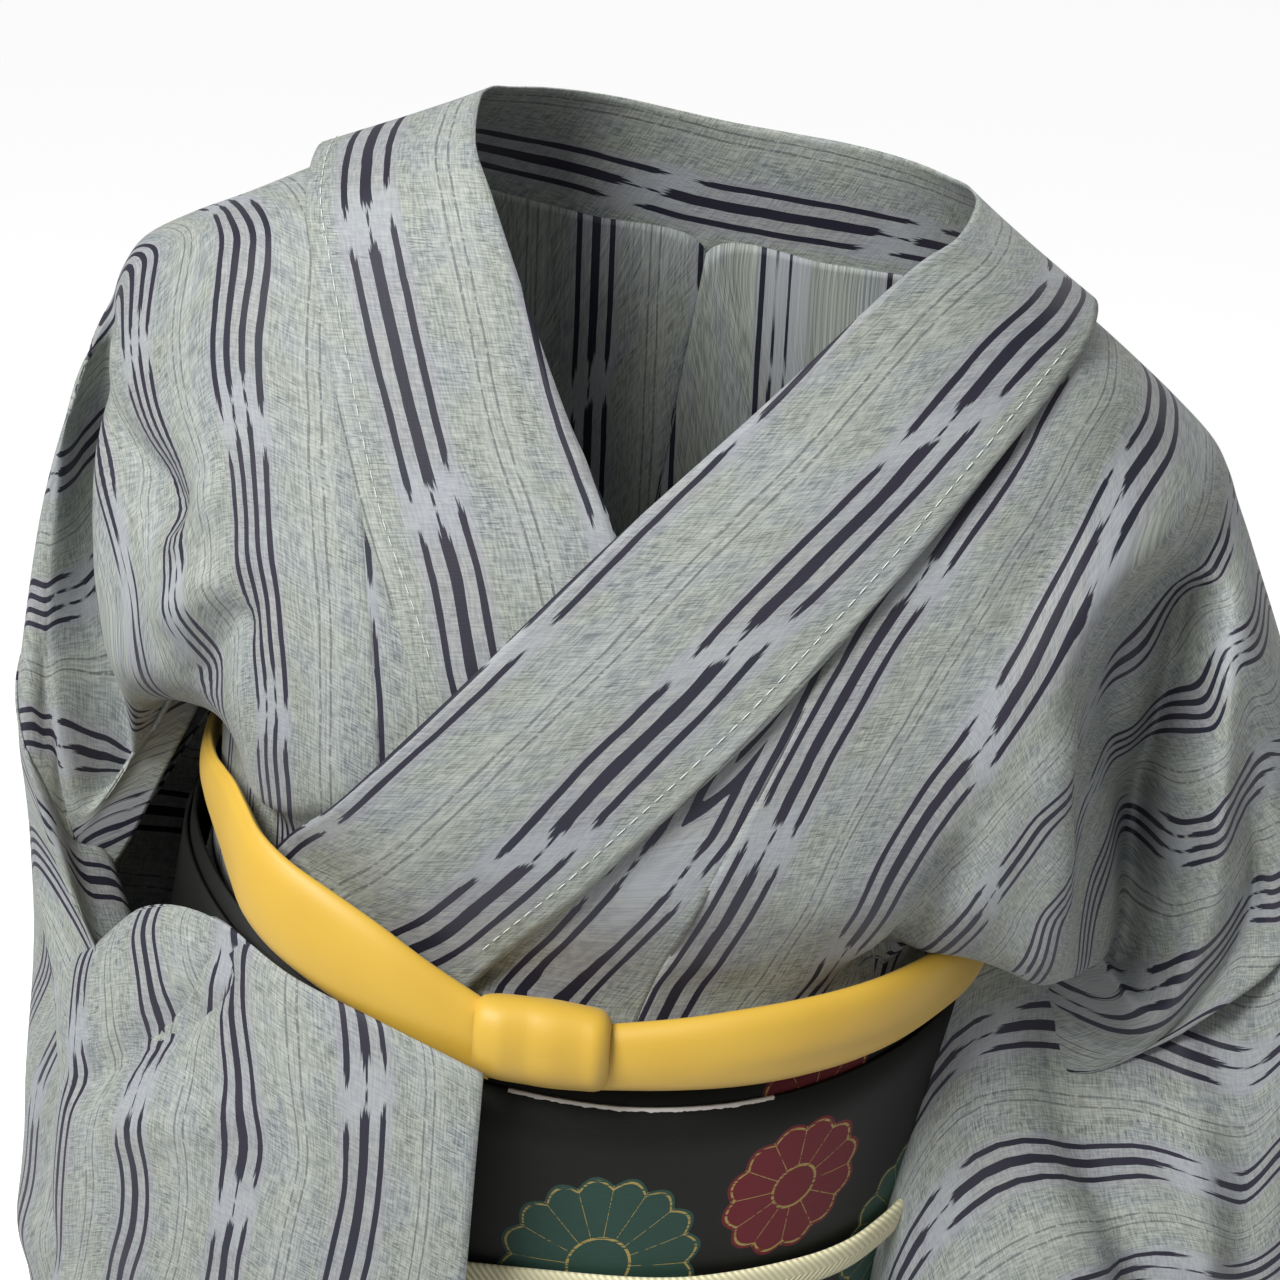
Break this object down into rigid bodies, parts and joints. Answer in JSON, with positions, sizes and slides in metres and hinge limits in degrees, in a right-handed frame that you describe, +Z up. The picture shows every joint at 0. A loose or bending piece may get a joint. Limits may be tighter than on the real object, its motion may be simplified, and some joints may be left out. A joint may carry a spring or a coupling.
{
  "type": "kimono",
  "caption": "Woman's striped ikat silk kimono worn left over right, with its belt tied in a drum bow, yellow scarf and cream cord; hollow, held at the neck.",
  "frame": {"origin": "middle of the neck opening, level with the two peaks of the collar", "axes": "+Z up along the standing figure, the figure faces -Y and +X is the wearer's left"},
  "size_m": [0.5201, 0.3409, 1.3042],
  "materials": {
    "silk": "matte ribbed weave",
    "belt_silk": "soft satin",
    "scarf_silk": "crepe with a soft sheen",
    "braid": "matte braid"
  },
  "bodies": {
    "root": {"body_right": "silk", "body_left": "silk", "okumi_right": "silk", "okumi_left": "silk", "collar": "silk", "sleeve_right": "silk", "sleeve_left": "silk", "tuck_right": "silk", "tuck_left": "silk", "okumi_right_tuck": "silk", "okumi_left_tuck": "silk", "skirt_right": "silk", "skirt_left": "silk", "okumi_right_skirt": "silk", "okumi_left_skirt": "silk", "obi_inner_turn": "belt_silk", "obi_outer_turn": "belt_silk", "obi_drum": "belt_silk", "obi_tail": "belt_silk", "obi_hand_end": "belt_silk", "obiage_right": "scarf_silk", "obiage_left": "scarf_silk", "obiage_knot": "scarf_silk", "obijime": "braid", "obijime_knot": "braid"}
  },
  "joints": []
}
